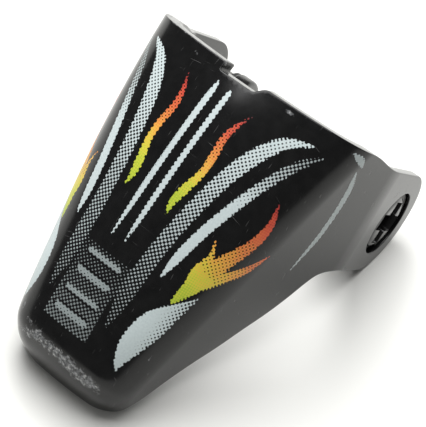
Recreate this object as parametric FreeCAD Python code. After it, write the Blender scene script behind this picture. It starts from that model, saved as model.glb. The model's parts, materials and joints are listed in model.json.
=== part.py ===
import FreeCAD, Part
import math
import os
from FreeCAD import Vector, Placement, Rotation

os.makedirs("parts", exist_ok=True)

# ------------------------------------------------------------------
# Flip-up goalie mask of a toy figure: one moulded shell with two ear
# lugs, and a turning axle hub with its clip and washer in each lug.
#
# Everything is first drawn in the frame of the worn mask
#   x = across the face (right ear +), v = up the face, f = forward
# with the pivot axis through v = 0, f = 0.  At the end the assembly is
# tipped back so that it lies on its chin rim and on both lug ends.
# ------------------------------------------------------------------

# driving dimensions, mm
wall = 1.9                 # moulded wall of the face
ear_plate = 1.1            # thickness of the ear lugs
ear_face_x = 13.2          # outer face of an ear lug
lug_radius = 5.65          # rounded lug end about the pivot
brow_v = 6.5               # brow edge height over the pivot
pivot_pocket_radius = 3.6
pivot_pocket_depth = 0.8
bore_radius = 2.95         # bearing bore in the lug
barrel_radius = 2.91       # turning hub, 0.04 running clearance
hub_face_sink = 0.12       # hub end below the ear face
flange_radius = 4.1
flange_outer_x = 8.40
flange_inner_x = 6.60
boss_radius = 3.6          # bearing sleeve inside the lug
boss_end_x = 8.90
seat_radius = 4.3          # thickened seat round the sleeve
seat_x = 11.5
cross_tip = 4.86           # socket for the 4.8 mm cross axle
cross_arm = 1.84
groove_radius = 2.70       # clip groove in the hub
clip_inner_radius = 2.71
clip_outer_radius = 3.42
clip_x0 = 12.45
clip_x1 = 12.85
clip_mouth = 3.4           # opening of the C shaped clip
washer_outer_radius = 3.95
washer_inner_radius = 2.93
washer_x0 = 8.41
washer_x1 = 8.85
notch_half = 2.4           # brow notch half width
notch_floor_v = 5.62
back_f = -9.0              # sections are drawn back to here
corner_blend = 3.0
fold_blend = 1.3

# tables along the height v: value at each height
front_depth = [(-29.5, 15.5), (-28.4, 18.3), (-27.3, 20.4), (-26.0, 22.65),
               (-24.5, 24.05), (-23.7, 24.5), (-22.5, 24.75), (-19.0, 25.1), (-14.0, 25.2),
               (-8.0, 24.9), (-2.0, 24.2), (3.0, 23.2), (6.5, 22.2), (9.0, 21.4)]
corner_half = [(-29.5, 4.4), (-28.4, 5.1), (-27.3, 5.75), (-26.0, 6.3),
               (-24.5, 6.75), (-22.5, 7.05), (-19.0, 7.55), (-14.0, 8.35),
               (-8.0, 9.4), (-2.0, 10.4), (3.0, 11.25), (6.5, 11.85), (9.0, 12.3)]
crown_drop = [(-29.5, 0.5), (-27.3, 0.6), (-24.5, 0.8), (-22.5, 1.0),
              (-19.0, 1.5), (-14.0, 2.1), (-8.0, 2.5), (-2.0, 2.8),
              (3.0, 3.05), (6.5, 3.2), (9.0, 3.3)]
fold_half = [(-29.5, 5.0), (-28.4, 5.6), (-27.3, 6.25), (-26.0, 6.95),
             (-24.5, 7.7), (-22.5, 8.5), (-19.0, 9.8), (-14.0, 11.5),
             (-10.0, 12.6), (-7.0, 13.12), (-5.0, 13.2), (0.0, 13.2), (9.0, 13.2)]
fold_depth = [(-29.5, 8.0), (-27.3, 9.0), (-24.5, 10.0), (-19.0, 9.0),
              (-14.0, 7.6), (-8.0, 6.5), (-5.6, 6.6), (0.0, 7.6), (5.4, 8.6), (9.0, 9.3)]
# rear edge of the cheek, as (f, v), from under the ear lug to the chin
rear_edge = [(9.9, -6.9), (10.55, -8.2), (11.3, -10.2), (12.1, -12.2), (13.3, -14.6),
             (14.6, -17.3), (16.0, -19.6), (17.3, -22.0), (18.4, -24.6), (19.1, -27.0),
             (19.7, -29.3)]

section_heights = [-29.4, -28.4, -27.3, -26.0, -24.5, -22.5, -20.0, -17.0, -14.0,
                   -11.0, -8.0, -5.5, -3.0, 0.0, 3.0, 6.0, 8.8]
cavity_heights = [-27.1, -26.2, -25.2, -24.0, -22.5, -20.0, -17.0, -14.0,
                  -11.0, -8.0, -5.5, -3.0, 0.0, 3.0, 6.0, 8.8]


def value(table, v):
    n = len(table)
    if v <= table[0][0]:
        (v0, a), (v1, b) = table[0], table[1]
        return a + (b - a) / (v1 - v0) * (v - v0)
    if v >= table[-1][0]:
        (v0, a), (v1, b) = table[-2], table[-1]
        return b + (b - a) / (v1 - v0) * (v - v1)
    for i in range(n - 1):
        if table[i][0] <= v <= table[i + 1][0]:
            v0, a = table[i]
            v1, b = table[i + 1]
            h = v1 - v0
            m0 = (b - table[i - 1][1]) / (v1 - table[i - 1][0]) if i > 0 else (b - a) / h
            m1 = (table[i + 2][1] - a) / (table[i + 2][0] - v0) if i < n - 2 else (b - a) / h
            t = (v - v0) / h
            return ((2 * t ** 3 - 3 * t * t + 1) * a + (t ** 3 - 2 * t * t + t) * h * m0
                    + (-2 * t ** 3 + 3 * t * t) * b + (t ** 3 - t * t) * h * m1)


def blend(A, C, B, n):
    k = 0.58
    p1 = (A[0] + (C[0] - A[0]) * k, A[1] + (C[1] - A[1]) * k)
    p2 = (B[0] + (C[0] - B[0]) * k, B[1] + (C[1] - B[1]) * k)
    out = []
    for i in range(n):
        t = i / n
        u = 1 - t
        out.append(tuple(u ** 3 * A[j] + 3 * u * u * t * p1[j]
                         + 3 * u * t * t * p2[j] + t ** 3 * B[j] for j in (0, 1)))
    return out


def section(v, nc=6, nk=6, nw=4, nf=4, ne=4):
    """Half outline of the outside at height v, from the middle of the
    face round the cheek corner, along the wall, and back past the lug."""
    f0 = value(front_depth, v)
    xk = value(corner_half, v)
    dr = value(crown_drop, v)
    W = (value(fold_half, v), value(fold_depth, v))
    K = (xk, f0 - dr)
    x1 = xk - min(corner_blend, 0.42 * xk)
    A = (x1, f0 - dr * (x1 / xk) ** 2)
    ta = (1.0, -2 * dr * x1 / xk ** 2)
    wd = (W[0] - K[0], W[1] - K[1])
    L = math.hypot(wd[0], wd[1])
    wd = (wd[0] / L, wd[1] / L)
    det = ta[0] * (-wd[1]) - ta[1] * (-wd[0])
    s = ((K[0] - A[0]) * (-wd[1]) - (K[1] - A[1]) * (-wd[0])) / det
    C = (A[0] + ta[0] * s, A[1] + ta[1] * s)
    t2 = min(3.2, 0.4 * L)
    B = (C[0] + wd[0] * t2, C[1] + wd[1] * t2)
    D = (W[0] - wd[0] * fold_blend, W[1] - wd[1] * fold_blend)
    E = (W[0], W[1] - fold_blend)
    pts = [(x1 * i / nc, f0 - dr * (x1 * i / nc / xk) ** 2) for i in range(nc)]
    pts += blend(A, C, B, nk)
    pts += [(B[0] + (D[0] - B[0]) * i / nw, B[1] + (D[1] - B[1]) * i / nw) for i in range(nw)]
    pts += blend(D, W, E, nf)
    pts += [(E[0], E[1] + (back_f - E[1]) * i / ne) for i in range(ne + 1)]
    return pts


def inside_section(v, gap):
    """The same outline moved inward by the wall thickness, measured
    square to the surface."""
    c = section(v)
    up = section(v + 0.05)
    dn = section(v - 0.05)
    n = len(c)
    out = []
    for i in range(n):
        if i == 0:
            tx, tf = 1.0, 0.0
        elif i == n - 1:
            tx, tf = 0.0, -1.0
        else:
            tx, tf = c[i + 1][0] - c[i - 1][0], c[i + 1][1] - c[i - 1][1]
        L = math.hypot(tx, tf)
        tx, tf = tx / L, tf / L
        nx, nf = -tf, tx
        if nx < 0 and i > 3:
            nx, nf = -nx, -nf
        if i <= 3 and nf < 0:
            nx, nf = -nx, -nf
        sx = (up[i][0] - dn[i][0]) / 0.1
        sf = (up[i][1] - dn[i][1]) / 0.1
        slope = sx * nx + sf * nf
        # the wall thins from the cheek corner to the ear plate
        t = min(1.0, max(0.0, (i - 11) / 9.0))
        t = t * t * (3 - 2 * t)
        d = (gap + (ear_plate - gap) * t) * min(2.0, math.sqrt(1 + slope * slope))
        out.append((c[i][0] - nx * d, c[i][1] - nf * d))
    out[0] = (0.0, out[0][1])
    out[-1] = (out[-1][0], back_f - 0.5)
    return out


def outline_wire(half, v):
    pts = [Vector(-x, v, f) for x, f in reversed(half[1:])] + [Vector(x, v, f) for x, f in half]
    n = len(pts)
    sp = Part.BSplineCurve()
    sp.interpolate(Points=pts, Parameters=[i / (n - 1.0) for i in range(n)])
    e = sp.toShape()
    back = Part.makeLine(pts[-1], pts[0])
    return Part.Wire([e, back])


def loft(heights, gap):
    wires = []
    for v in heights:
        half = section(v) if gap == 0 else inside_section(v, gap)
        wires.append(outline_wire(half, v))
    return Part.makeLoft(wires, True, False)


def bezier(pts):
    b = Part.BezierCurve()
    b.setPoles([Vector(0, v, f) for f, v in pts])
    return b.toShape()


def side_blank(x0, x1):
    """Side view of the mask (brow edge, ear lug, rear edge, chin)."""
    def L(a, b):
        return Part.makeLine(Vector(0, a[1], a[0]), Vector(0, b[1], b[0]))
    r = lug_radius
    edges = []
    edges.append(L((31.0, brow_v), (16.5, brow_v)))
    edges.append(bezier([(16.5, brow_v), (12.6, brow_v), (11.5, r), (7.5, r)]))
    edges.append(L((7.5, r), (0.0, r)))
    edges.append(Part.Arc(Vector(0, r, 0), Vector(0, 0, -r), Vector(0, -r, 0)).toShape())
    edges.append(L((0.0, -r), (5.2, -r - 0.03)))
    edges.append(bezier([(5.2, -r - 0.03), (7.3, -r - 0.05), (9.1, -6.25), rear_edge[0]]))
    sp = Part.BSplineCurve()
    sp.interpolate([Vector(0, v, f) for f, v in rear_edge])
    edges.append(sp.toShape())
    edges.append(L(rear_edge[-1], (31.0, -29.3)))
    edges.append(L((31.0, -29.3), (31.0, brow_v)))
    w = Part.Wire(Part.__sortEdges__(edges))
    face = Part.Face(w)
    s = face.extrude(Vector(x1 - x0, 0, 0))
    s.translate(Vector(x0, 0, 0))
    return s


def cyl(r, x0, x1):
    a, b = min(x0, x1), max(x0, x1)
    return Part.makeCylinder(r, b - a, Vector(a, 0, 0), Vector(1, 0, 0))


def turned(profile, side):
    """Solid of revolution about the pivot axis from (x, r) points."""
    pts = [Vector(side * x, r, 0) for x, r in profile]
    w = Part.makePolygon(pts + [pts[0]])
    s = Part.Face(w).revolve(Vector(0, 0, 0), Vector(1, 0, 0), 360)
    if s.Volume < 0:
        s.reverse()
    return s


def cross_prism(x0, x1):
    a, b = min(x0, x1), max(x0, x1)
    h, w = cross_tip / 2, cross_arm / 2
    one = Part.makeBox(b - a, 2 * h, 2 * w, Vector(a, -h, -w))
    two = Part.makeBox(b - a, 2 * w, 2 * h, Vector(a, -w, -h))
    return one.fuse(two).removeSplitter()


# ---------------- the moulded shell ----------------
outside = loft(section_heights, 0)
cavity = loft(cavity_heights, wall)
shell = outside.common(side_blank(-20, 20))
shell = shell.cut(cavity)
for side in (1, -1):
    shell = shell.fuse(turned([(boss_end_x, 2.0), (boss_end_x, boss_radius - 0.12),
                               (boss_end_x + 0.12, boss_radius), (seat_x - 0.25, boss_radius),
                               (seat_x, boss_radius + 0.25), (seat_x, seat_radius - 0.15),
                               (seat_x + 0.15, seat_radius), (ear_face_x - 0.9, seat_radius),
                               (ear_face_x - 0.9, 2.0)], side))
for side in (1, -1):
    shell = shell.cut(cyl(bore_radius, side * 8.0, side * 14.5))
    shell = shell.cut(cyl(pivot_pocket_radius, side * (ear_face_x - pivot_pocket_depth), side * 14.5))
# centred notch in the brow edge: square at one end, easing out at the other
notch = Part.makePolygon([Vector(-notch_half, notch_floor_v, 14.0), Vector(1.4, notch_floor_v, 14.0),
                          Vector(notch_half + 0.25, brow_v + 0.4, 14.0),
                          Vector(notch_half + 0.25, brow_v + 2, 14.0),
                          Vector(-notch_half, brow_v + 2, 14.0),
                          Vector(-notch_half, notch_floor_v, 14.0)])
shell = shell.cut(Part.Face(notch).extrude(Vector(0, 0, 14)))
solids = sorted(shell.Solids, key=lambda s: -s.Volume)
print("shell solids", len(solids), [round(s.Volume, 2) for s in solids], "valid", shell.isValid())
shell = solids[0]


# ---------------- pivot hardware ----------------
def hub(side):
    face_x = ear_face_x - hub_face_sink
    c = 0.18
    prof = [(flange_inner_x, 0.0), (flange_inner_x, flange_radius - 0.45),
            (flange_inner_x + 0.45, flange_radius), (flange_outer_x - 0.25, flange_radius),
            (flange_outer_x, flange_radius - 0.25), (flange_outer_x, barrel_radius),
            (clip_x0 - 0.02, barrel_radius), (clip_x0 - 0.02, groove_radius),
            (clip_x1 + 0.02, groove_radius), (clip_x1 + 0.02, barrel_radius - 0.02),
            (clip_x1 + 0.06, barrel_radius - 0.08), (face_x - 0.07, barrel_radius - 0.28),
            (face_x - 0.02, barrel_radius - 0.48), (face_x, barrel_radius - 0.72), (face_x, 0.0)]
    body = turned(prof, side)
    return body.cut(cross_prism(side * 5.0, side * 15.0)).Solids[0]


def clip(side):
    prof = [(clip_x0, clip_inner_radius), (clip_x0, clip_outer_radius - 0.08),
            (clip_x0 + 0.08, clip_outer_radius), (clip_x1 - 0.08, clip_outer_radius),
            (clip_x1, clip_outer_radius - 0.08), (clip_x1, clip_inner_radius)]
    ring = turned(prof, side)
    gap = Part.makeBox(1.5, 3.0, clip_mouth, Vector(0, -clip_outer_radius - 1.2, -clip_mouth / 2))
    gap.translate(Vector(side * 12.5 - 0.75, 0, 0))
    return ring.cut(gap).Solids[0]


def washer(side):
    prof = [(washer_x0, washer_inner_radius), (washer_x0, washer_outer_radius - 0.08),
            (washer_x0 + 0.08, washer_outer_radius), (washer_x1 - 0.08, washer_outer_radius),
            (washer_x1, washer_outer_radius - 0.08), (washer_x1, washer_inner_radius)]
    return turned(prof, side)


parts = {"mask_shell": shell}
for name, side in (("right", 1), ("left", -1)):
    parts[name + "_pivot_hub"] = hub(side)
    parts[name + "_retaining_ring"] = clip(side)
    parts[name + "_friction_washer"] = washer(side)


# ---------------- tip back on to chin rim and lug ends ----------------
chin = []
for e in shell.Edges:
    if e.BoundBox.YMin < -20.0:
        chin += [p for p in e.discretize(40) if p.y < -20.0]


def chin_low(a):
    return min(math.sin(a) * p.y + math.cos(a) * p.z for p in chin)


lo, hi = math.radians(30.0), math.radians(60.0)
for k in range(60):
    mid = (lo + hi) / 2
    if chin_low(mid) > -lug_radius:
        lo = mid
    else:
        hi = mid
tip_back = (lo + hi) / 2

# x stays; (v, f) -> (y, z) with y = v cos - f sin, z = v sin + f cos
turn = FreeCAD.Matrix()
c, s = math.cos(tip_back), math.sin(tip_back)
turn.A11 = 1.0
turn.A22, turn.A23 = c, -s
turn.A32, turn.A33 = s, c
for n in parts:
    parts[n].transformShape(turn, True)
box = Part.makeCompound(list(parts.values())).optimalBoundingBox(False)
move = Vector(0, -(box.YMin + box.YMax) / 2, -box.ZMin)
print("tip_back deg", math.degrees(tip_back), "pivot at", move.y, move.z)
for n, shp in parts.items():
    shp.translate(move)
    bb = shp.optimalBoundingBox(False)
    print(n, shp.ShapeType, "valid", shp.isValid(), "volume", round(shp.Volume, 3),
          [round(q, 4) for q in (bb.XMin, bb.XMax, bb.YMin, bb.YMax, bb.ZMin, bb.ZMax)])
    shp.exportStep("parts/" + n + ".step")
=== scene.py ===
import bpy
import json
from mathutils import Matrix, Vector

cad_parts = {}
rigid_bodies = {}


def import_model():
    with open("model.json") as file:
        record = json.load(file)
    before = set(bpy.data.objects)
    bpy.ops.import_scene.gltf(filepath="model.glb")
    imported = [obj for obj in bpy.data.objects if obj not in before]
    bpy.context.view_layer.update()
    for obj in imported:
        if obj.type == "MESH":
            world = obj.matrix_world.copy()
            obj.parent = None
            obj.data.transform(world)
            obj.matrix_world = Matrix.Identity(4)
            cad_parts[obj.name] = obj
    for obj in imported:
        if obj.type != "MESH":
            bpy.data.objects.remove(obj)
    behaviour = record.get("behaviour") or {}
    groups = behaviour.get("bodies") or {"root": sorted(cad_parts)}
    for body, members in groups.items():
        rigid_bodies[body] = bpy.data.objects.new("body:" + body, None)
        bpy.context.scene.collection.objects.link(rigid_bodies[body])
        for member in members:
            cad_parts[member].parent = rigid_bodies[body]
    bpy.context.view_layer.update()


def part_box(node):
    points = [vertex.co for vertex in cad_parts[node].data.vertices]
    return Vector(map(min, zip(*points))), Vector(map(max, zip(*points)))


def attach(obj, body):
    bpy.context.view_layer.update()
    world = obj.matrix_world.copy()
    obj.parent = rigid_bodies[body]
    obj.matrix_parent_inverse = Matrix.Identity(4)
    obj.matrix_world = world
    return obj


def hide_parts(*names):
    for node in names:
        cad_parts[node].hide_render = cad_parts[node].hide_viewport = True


for o in list(bpy.data.objects):
    bpy.data.objects.remove(o)
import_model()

import json
import math

import bmesh
import numpy as np
from mathutils import Matrix, Vector
from mathutils.geometry import delaunay_2d_cdt

# ----------------------------------------------------------------------
# Frame of the worn mask: x across the face, v up the face, f forward, in
# mm, with the pivot axis through v = f = 0.  The row frame is the same
# thing tipped back on to the chin rim, in metres.
# ----------------------------------------------------------------------
TIP = math.radians(44.35480694164851)
CT, ST = math.cos(TIP), math.sin(TIP)
hub_lo, hub_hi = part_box("right_pivot_hub")
PY = (hub_lo[1] + hub_hi[1]) / 2
PZ = (hub_lo[2] + hub_hi[2]) / 2
MM = 0.001


def row(p):
    """(n, 3) array of x, v, f in mm to the row frame in metres."""
    p = np.asarray(p, float)
    return np.stack([p[..., 0] * MM, PY + (p[..., 1] * CT - p[..., 2] * ST) * MM,
                     PZ + (p[..., 1] * ST + p[..., 2] * CT) * MM], -1)


def rowdir(d):
    d = np.asarray(d, float)
    return np.stack([d[..., 0], d[..., 1] * CT - d[..., 2] * ST, d[..., 1] * ST + d[..., 2] * CT], -1)


wall, ear_plate, ear_face_x, lug_radius, brow_v = 1.9, 1.1, 13.2, 5.65, 6.5
back_f, corner_blend, fold_blend = -9.0, 3.0, 1.3
front_depth = [(-29.5, 15.5), (-28.4, 18.3), (-27.3, 20.4), (-26.0, 22.65),
               (-24.5, 24.05), (-23.7, 24.5), (-22.5, 24.75), (-19.0, 25.1), (-14.0, 25.2),
               (-8.0, 24.9), (-2.0, 24.2), (3.0, 23.2), (6.5, 22.2), (9.0, 21.4)]
corner_half = [(-29.5, 4.4), (-28.4, 5.1), (-27.3, 5.75), (-26.0, 6.3),
               (-24.5, 6.75), (-22.5, 7.05), (-19.0, 7.55), (-14.0, 8.35),
               (-8.0, 9.4), (-2.0, 10.4), (3.0, 11.25), (6.5, 11.85), (9.0, 12.3)]
crown_drop = [(-29.5, 0.5), (-27.3, 0.6), (-24.5, 0.8), (-22.5, 1.0),
              (-19.0, 1.5), (-14.0, 2.1), (-8.0, 2.5), (-2.0, 2.8),
              (3.0, 3.05), (6.5, 3.2), (9.0, 3.3)]
fold_half = [(-29.5, 5.0), (-28.4, 5.6), (-27.3, 6.25), (-26.0, 6.95),
             (-24.5, 7.7), (-22.5, 8.5), (-19.0, 9.8), (-14.0, 11.5),
             (-10.0, 12.6), (-7.0, 13.12), (-5.0, 13.2), (0.0, 13.2), (9.0, 13.2)]
fold_depth = [(-29.5, 8.0), (-27.3, 9.0), (-24.5, 10.0), (-19.0, 9.0),
              (-14.0, 7.6), (-8.0, 6.5), (-5.6, 6.6), (0.0, 7.6), (5.4, 8.6), (9.0, 9.3)]
rear_edge = [(9.9, -6.9), (10.55, -8.2), (11.3, -10.2), (12.1, -12.2), (13.3, -14.6),
             (14.6, -17.3), (16.0, -19.6), (17.3, -22.0), (18.4, -24.6), (19.1, -27.0),
             (19.7, -29.3)]


def value(table, v):
    """Smooth curve through the table's knots, for an array of v."""
    k = np.array([a for a, b in table])
    y = np.array([b for a, b in table])
    n = len(k)
    v = np.asarray(v, float)
    m = np.empty(n)
    m[1:-1] = (y[2:] - y[:-2]) / (k[2:] - k[:-2])
    m[0] = (y[1] - y[0]) / (k[1] - k[0])
    m[-1] = (y[-1] - y[-2]) / (k[-1] - k[-2])
    i = np.clip(np.searchsorted(k, v) - 1, 0, n - 2)
    h = k[i + 1] - k[i]
    t = (v - k[i]) / h
    tc = np.clip(t, 0, 1)
    r = ((2 * tc ** 3 - 3 * tc ** 2 + 1) * y[i] + (tc ** 3 - 2 * tc ** 2 + tc) * h * m[i]
         + (-2 * tc ** 3 + 3 * tc ** 2) * y[i + 1] + (tc ** 3 - tc ** 2) * h * m[i + 1])
    return np.where(t < 0, y[0] + m[0] * (v - k[0]), np.where(t > 1, y[-1] + m[-1] * (v - k[-1]), r))


def outer(w, v):
    """Outside of the shell. w runs 0 at the middle, 1-2 the cheek corner,
    3-4 the fold into the ear plane, 5 behind the lug; sign is the side."""
    w, v = np.broadcast_arrays(np.asarray(w, float), np.asarray(v, float))
    s, w = np.sign(w) + (w == 0), np.abs(w)
    f0, xk, dr = value(front_depth, v), value(corner_half, v), value(crown_drop, v)
    W = np.stack([value(fold_half, v), value(fold_depth, v)], -1)
    K = np.stack([xk, f0 - dr], -1)
    x1 = xk - np.minimum(corner_blend, 0.42 * xk)
    A = np.stack([x1, f0 - dr * (x1 / xk) ** 2], -1)
    ta1 = -2 * dr * x1 / xk ** 2
    wd = W - K
    L = np.hypot(wd[..., 0], wd[..., 1])
    wd = wd / L[..., None]
    det = -wd[..., 1] + ta1 * wd[..., 0]
    ss = ((K - A)[..., 0] * (-wd[..., 1]) + (K - A)[..., 1] * wd[..., 0]) / det
    C = A + np.stack([np.ones_like(ta1), ta1], -1) * ss[..., None]
    B = C + wd * np.minimum(3.2, 0.4 * L)[..., None]
    D = W - wd * fold_blend
    E = W - np.stack([0 * x1, fold_blend + 0 * x1], -1)

    def bez(a, c, b, t):
        k = 0.58
        p1, p2 = a + (c - a) * k, b + (c - b) * k
        t = t[..., None]
        u = 1 - t
        return u ** 3 * a + 3 * u * u * t * p1 + 3 * u * t * t * p2 + t ** 3 * b

    t0 = np.clip(w, None, 1)
    q = np.stack([x1 * t0, f0 - dr * (x1 * t0 / xk) ** 2], -1)
    q = np.where((w > 1)[..., None], bez(A, C, B, np.clip(w - 1, 0, 1)), q)
    q = np.where((w > 2)[..., None], B + (D - B) * np.clip(w - 2, 0, 1)[..., None], q)
    q = np.where((w > 3)[..., None], bez(D, W, E, np.clip(w - 3, 0, 1)), q)
    tail = E + np.stack([0 * x1, (back_f - E[..., 1]) * (w - 4)], -1)
    q = np.where((w > 4)[..., None], tail, q)
    return np.stack([q[..., 0] * s, v, q[..., 1]], -1)


def inner(w, v):
    """Inside of the shell: the outside moved in by the wall."""
    w, v = np.broadcast_arrays(np.asarray(w, float), np.asarray(v, float))
    s, a = np.sign(w) + (w == 0), np.abs(w)
    e = 2e-3
    c = outer(a, v)
    t = outer(a + e, v) - outer(np.abs(a - e) * np.where(a < e, -1, 1), v)
    tx, tf = t[..., 0], t[..., 2]
    n = np.hypot(tx, tf)
    nx, nf = -tf / n, tx / n
    g = outer(a, v + 0.05) - outer(a, v - 0.05)
    slope = (g[..., 0] * nx + g[..., 2] * nf) / 0.1
    i = np.where(a < 2, a * 6, 12 + (a - 2) * 4)
    k = np.clip((i - 11) / 9, 0, 1)
    k = k * k * (3 - 2 * k)
    d = (wall + (ear_plate - wall) * k) * np.minimum(2.0, np.sqrt(1 + slope ** 2))
    return np.stack([(c[..., 0] - nx * d) * s, v, c[..., 2] - nf * d], -1)


def arclen(S, w, v, n=72):
    """Signed length along the section from the middle to w."""
    w, v = np.broadcast_arrays(np.asarray(w, float), np.asarray(v, float))
    t = np.linspace(0, 1, n)
    p = S(w[..., None] * t, np.broadcast_to(v[..., None], w.shape + (n,)))
    d = np.diff(p, axis=-2)
    return np.sign(w) * np.sqrt((d ** 2).sum(-1)).sum(-1)


def bisect(fn, a, b, n=44):
    """Root of an array function that changes sign once between a and b."""
    a, b = np.array(a, float), np.array(b, float)
    fa = fn(a)
    for _ in range(n):
        m = (a + b) / 2
        same = np.sign(fn(m)) == np.sign(fa)
        a, b = np.where(same, m, a), np.where(same, b, m)
    return (a + b) / 2


# ---------------- side outline ----------------
def bezier_pts(p, n):
    p = np.asarray(p, float)
    t = np.linspace(0, 1, n)[:, None]
    u = 1 - t
    return u ** 3 * p[0] + 3 * u * u * t * p[1] + 3 * u * t * t * p[2] + t ** 3 * p[3]


_top = bezier_pts([(16.5, brow_v), (12.6, brow_v), (11.5, lug_radius), (7.5, lug_radius)], 200)[::-1]


def top_v(f):
    return np.interp(f, _top[:, 0], _top[:, 1])


_re = [(v, f) for f, v in rear_edge][::-1]


def rear_f(v):
    return value(_re, v)


def even(p, step):
    """The open polyline p resampled to about that spacing."""
    p = np.asarray(p, float)
    L = np.concatenate([[0], np.cumsum(np.sqrt((np.diff(p, axis=0) ** 2).sum(1)))])
    n = max(1, int(round(L[-1] / step)))
    t = np.linspace(0, L[-1], n + 1)
    return np.stack([np.interp(t, L, p[:, k]) for k in range(p.shape[1])], 1)


def fillet_path(pts, radii, n=7):
    out = [np.array(pts[0], float)]
    for i in range(1, len(pts) - 1):
        p = np.array(pts[i], float)
        a, b = np.array(pts[i - 1], float) - p, np.array(pts[i + 1], float) - p
        a, b = a / np.linalg.norm(a), b / np.linalg.norm(b)
        r = radii[i]
        if r == 0:
            out.append(p)
            continue
        for t in np.linspace(0, 1, n):
            out.append((1 - t) ** 2 * (p + a * r) + 2 * t * (1 - t) * p + t * t * (p + b * r))
    out.append(np.array(pts[-1], float))
    return np.array(out)


STEP = 0.17


def half_boundary():
    """Right half of the rim from the brow (just past the notch) round the
    lug and the cheek to the chin middle. Rows are w_out, v_out, w_in, v_in."""
    rows = []
    # brow, over the crown, corner, wall and fold
    w = np.linspace(0.345, 4.0, 900)

    def brow(S):
        v = np.full(w.shape, brow_v)
        for _ in range(6):
            v = top_v(S(w, v)[:, 2])
        return v
    vo, vi = brow(outer), brow(inner)
    P = outer(w, vo)
    L = np.concatenate([[0], np.cumsum(np.sqrt((np.diff(P, axis=0) ** 2).sum(1)))])
    t = np.linspace(0, L[-1], int(L[-1] / STEP) + 1)
    ww = np.interp(t, L, w)
    rows.append(np.stack([ww, np.interp(t, L, vo), ww, np.interp(t, L, vi)], 1))
    # lug: given as (f, v)
    e0 = outer(4.0, top_v(7.0))[2]
    a = np.linspace(0, math.pi, 200)
    lug = [np.array([[e0, lug_radius], [0, lug_radius]])]
    lug.append(np.stack([-lug_radius * np.sin(a), lug_radius * np.cos(a)], 1))
    lug.append(np.array([[0, -lug_radius], [5.2, -lug_radius - 0.03]]))
    lug.append(bezier_pts([(5.2, -lug_radius - 0.03), (7.3, -lug_radius - 0.05), (9.1, -6.25), rear_edge[0]], 60))
    vv = np.linspace(-6.9, -25.5, 400)
    lug.append(np.stack([rear_f(vv), vv], 1))
    fv = even(np.concatenate(lug), STEP)[1:]
    # soften the one corner of the outline, where the arm meets the cheek
    near = np.where((np.abs(fv[:, 0] - 9.9) < 1.0) & (np.abs(fv[:, 1] + 6.9) < 1.2))[0]
    for _ in range(10):
        for i in near:
            fv[i] = (fv[i - 1] + fv[i] * 2 + fv[i + 1]) / 4

    def w_of(S, f, v):
        return bisect(lambda q: S(q, v)[..., 2] - f, np.full(f.shape, 0.6), np.full(f.shape, 5.0))
    wo, wi = w_of(outer, fv[:, 0], fv[:, 1]), w_of(inner, fv[:, 0], fv[:, 1])
    # chin: from the last cheek point round to the middle, by share of w
    cheek = np.stack([wo, fv[:, 1], wi, fv[:, 1]], 1)
    keep = wo > 1.45
    cut = int(np.argmin(keep)) if (~keep).any() else len(keep)
    cheek = cheek[:cut]
    rows.append(cheek)
    ws = cheek[-1, 0]
    wis = cheek[-1, 2]
    share = np.linspace(1, 0, 400)[1:]

    def v_of(S, q):
        return bisect(lambda v: S(q, v)[..., 2] - rear_f(v), np.full(q.shape, -29.3), np.full(q.shape, -21.0))
    wo2, wi2 = ws * share, wis * share
    vo2, vi2 = v_of(outer, wo2), v_of(inner, wi2)
    P = outer(wo2, vo2)
    L = np.concatenate([[0], np.cumsum(np.sqrt((np.diff(P, axis=0) ** 2).sum(1)))])
    t = np.linspace(0, L[-1], int(L[-1] / STEP) + 1)
    rows.append(np.stack([np.interp(t, L, q) for q in (wo2, vo2, wi2, vi2)], 1))
    return np.concatenate(rows)


half = half_boundary()


def by_x(x, v):
    """Rim rows for points of the crown given by x and v."""
    x, v = np.asarray(x, float), np.asarray(v, float)
    w = bisect(lambda q: outer(q, v)[..., 0] - x, np.full(x.shape, -1.2), np.full(x.shape, 1.2))
    return np.stack([w, v, w, v], 1)


first_r = outer(half[0, 0], half[0, 1])[0]
notch = fillet_path([(-first_r, brow_v), (-2.4, brow_v), (-2.4, 5.62), (1.4, 5.62), (2.26, brow_v), (first_r, brow_v)],
                    [0, 0.22, 0.2, 0.34, 0.4, 0], 9)
notch = even(notch, 0.09)[1:-1]
nrows = by_x(notch[:, 0], notch[:, 1])
mirror = half.copy()
mirror[:, 0] *= -1
mirror[:, 2] *= -1
rim = np.concatenate([nrows, half, mirror[:-1][::-1]])     # one closed loop


def domain_loop(S, w, v):
    return np.stack([arclen(S, w, v), v], 1)


def inset(loop, r):
    """The closed loop moved into the domain by r (the loop runs one way
    round; the inside is found from its signed area)."""
    t = np.roll(loop, -1, 0) - np.roll(loop, 1, 0)
    t /= np.linalg.norm(t, axis=1)[:, None]
    area = 0.5 * np.sum(loop[:, 0] * np.roll(loop[:, 1], -1) - np.roll(loop[:, 0], -1) * loop[:, 1])
    n = np.stack([-t[:, 1], t[:, 0]], 1) * np.sign(area)
    return loop + n * r


def w_at(S, u, v):
    """w for signed lengths u on the sections at heights v."""
    s = np.sign(u) + (u == 0)
    a = np.abs(u)
    grid = np.linspace(0, 5.2, 420)
    out = np.empty_like(a)
    order = np.argsort(v)
    for chunk in np.array_split(order, max(1, len(order) // 400)):
        P = S(np.broadcast_to(grid, (len(chunk), len(grid))), np.broadcast_to(v[chunk, None], (len(chunk), len(grid))))
        L = np.concatenate([np.zeros((len(chunk), 1)), np.cumsum(np.sqrt((np.diff(P, axis=1) ** 2).sum(2)), 1)], 1)
        for j, c in enumerate(chunk):
            out[c] = np.interp(a[c], L[j], grid)
    return out * s


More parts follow.
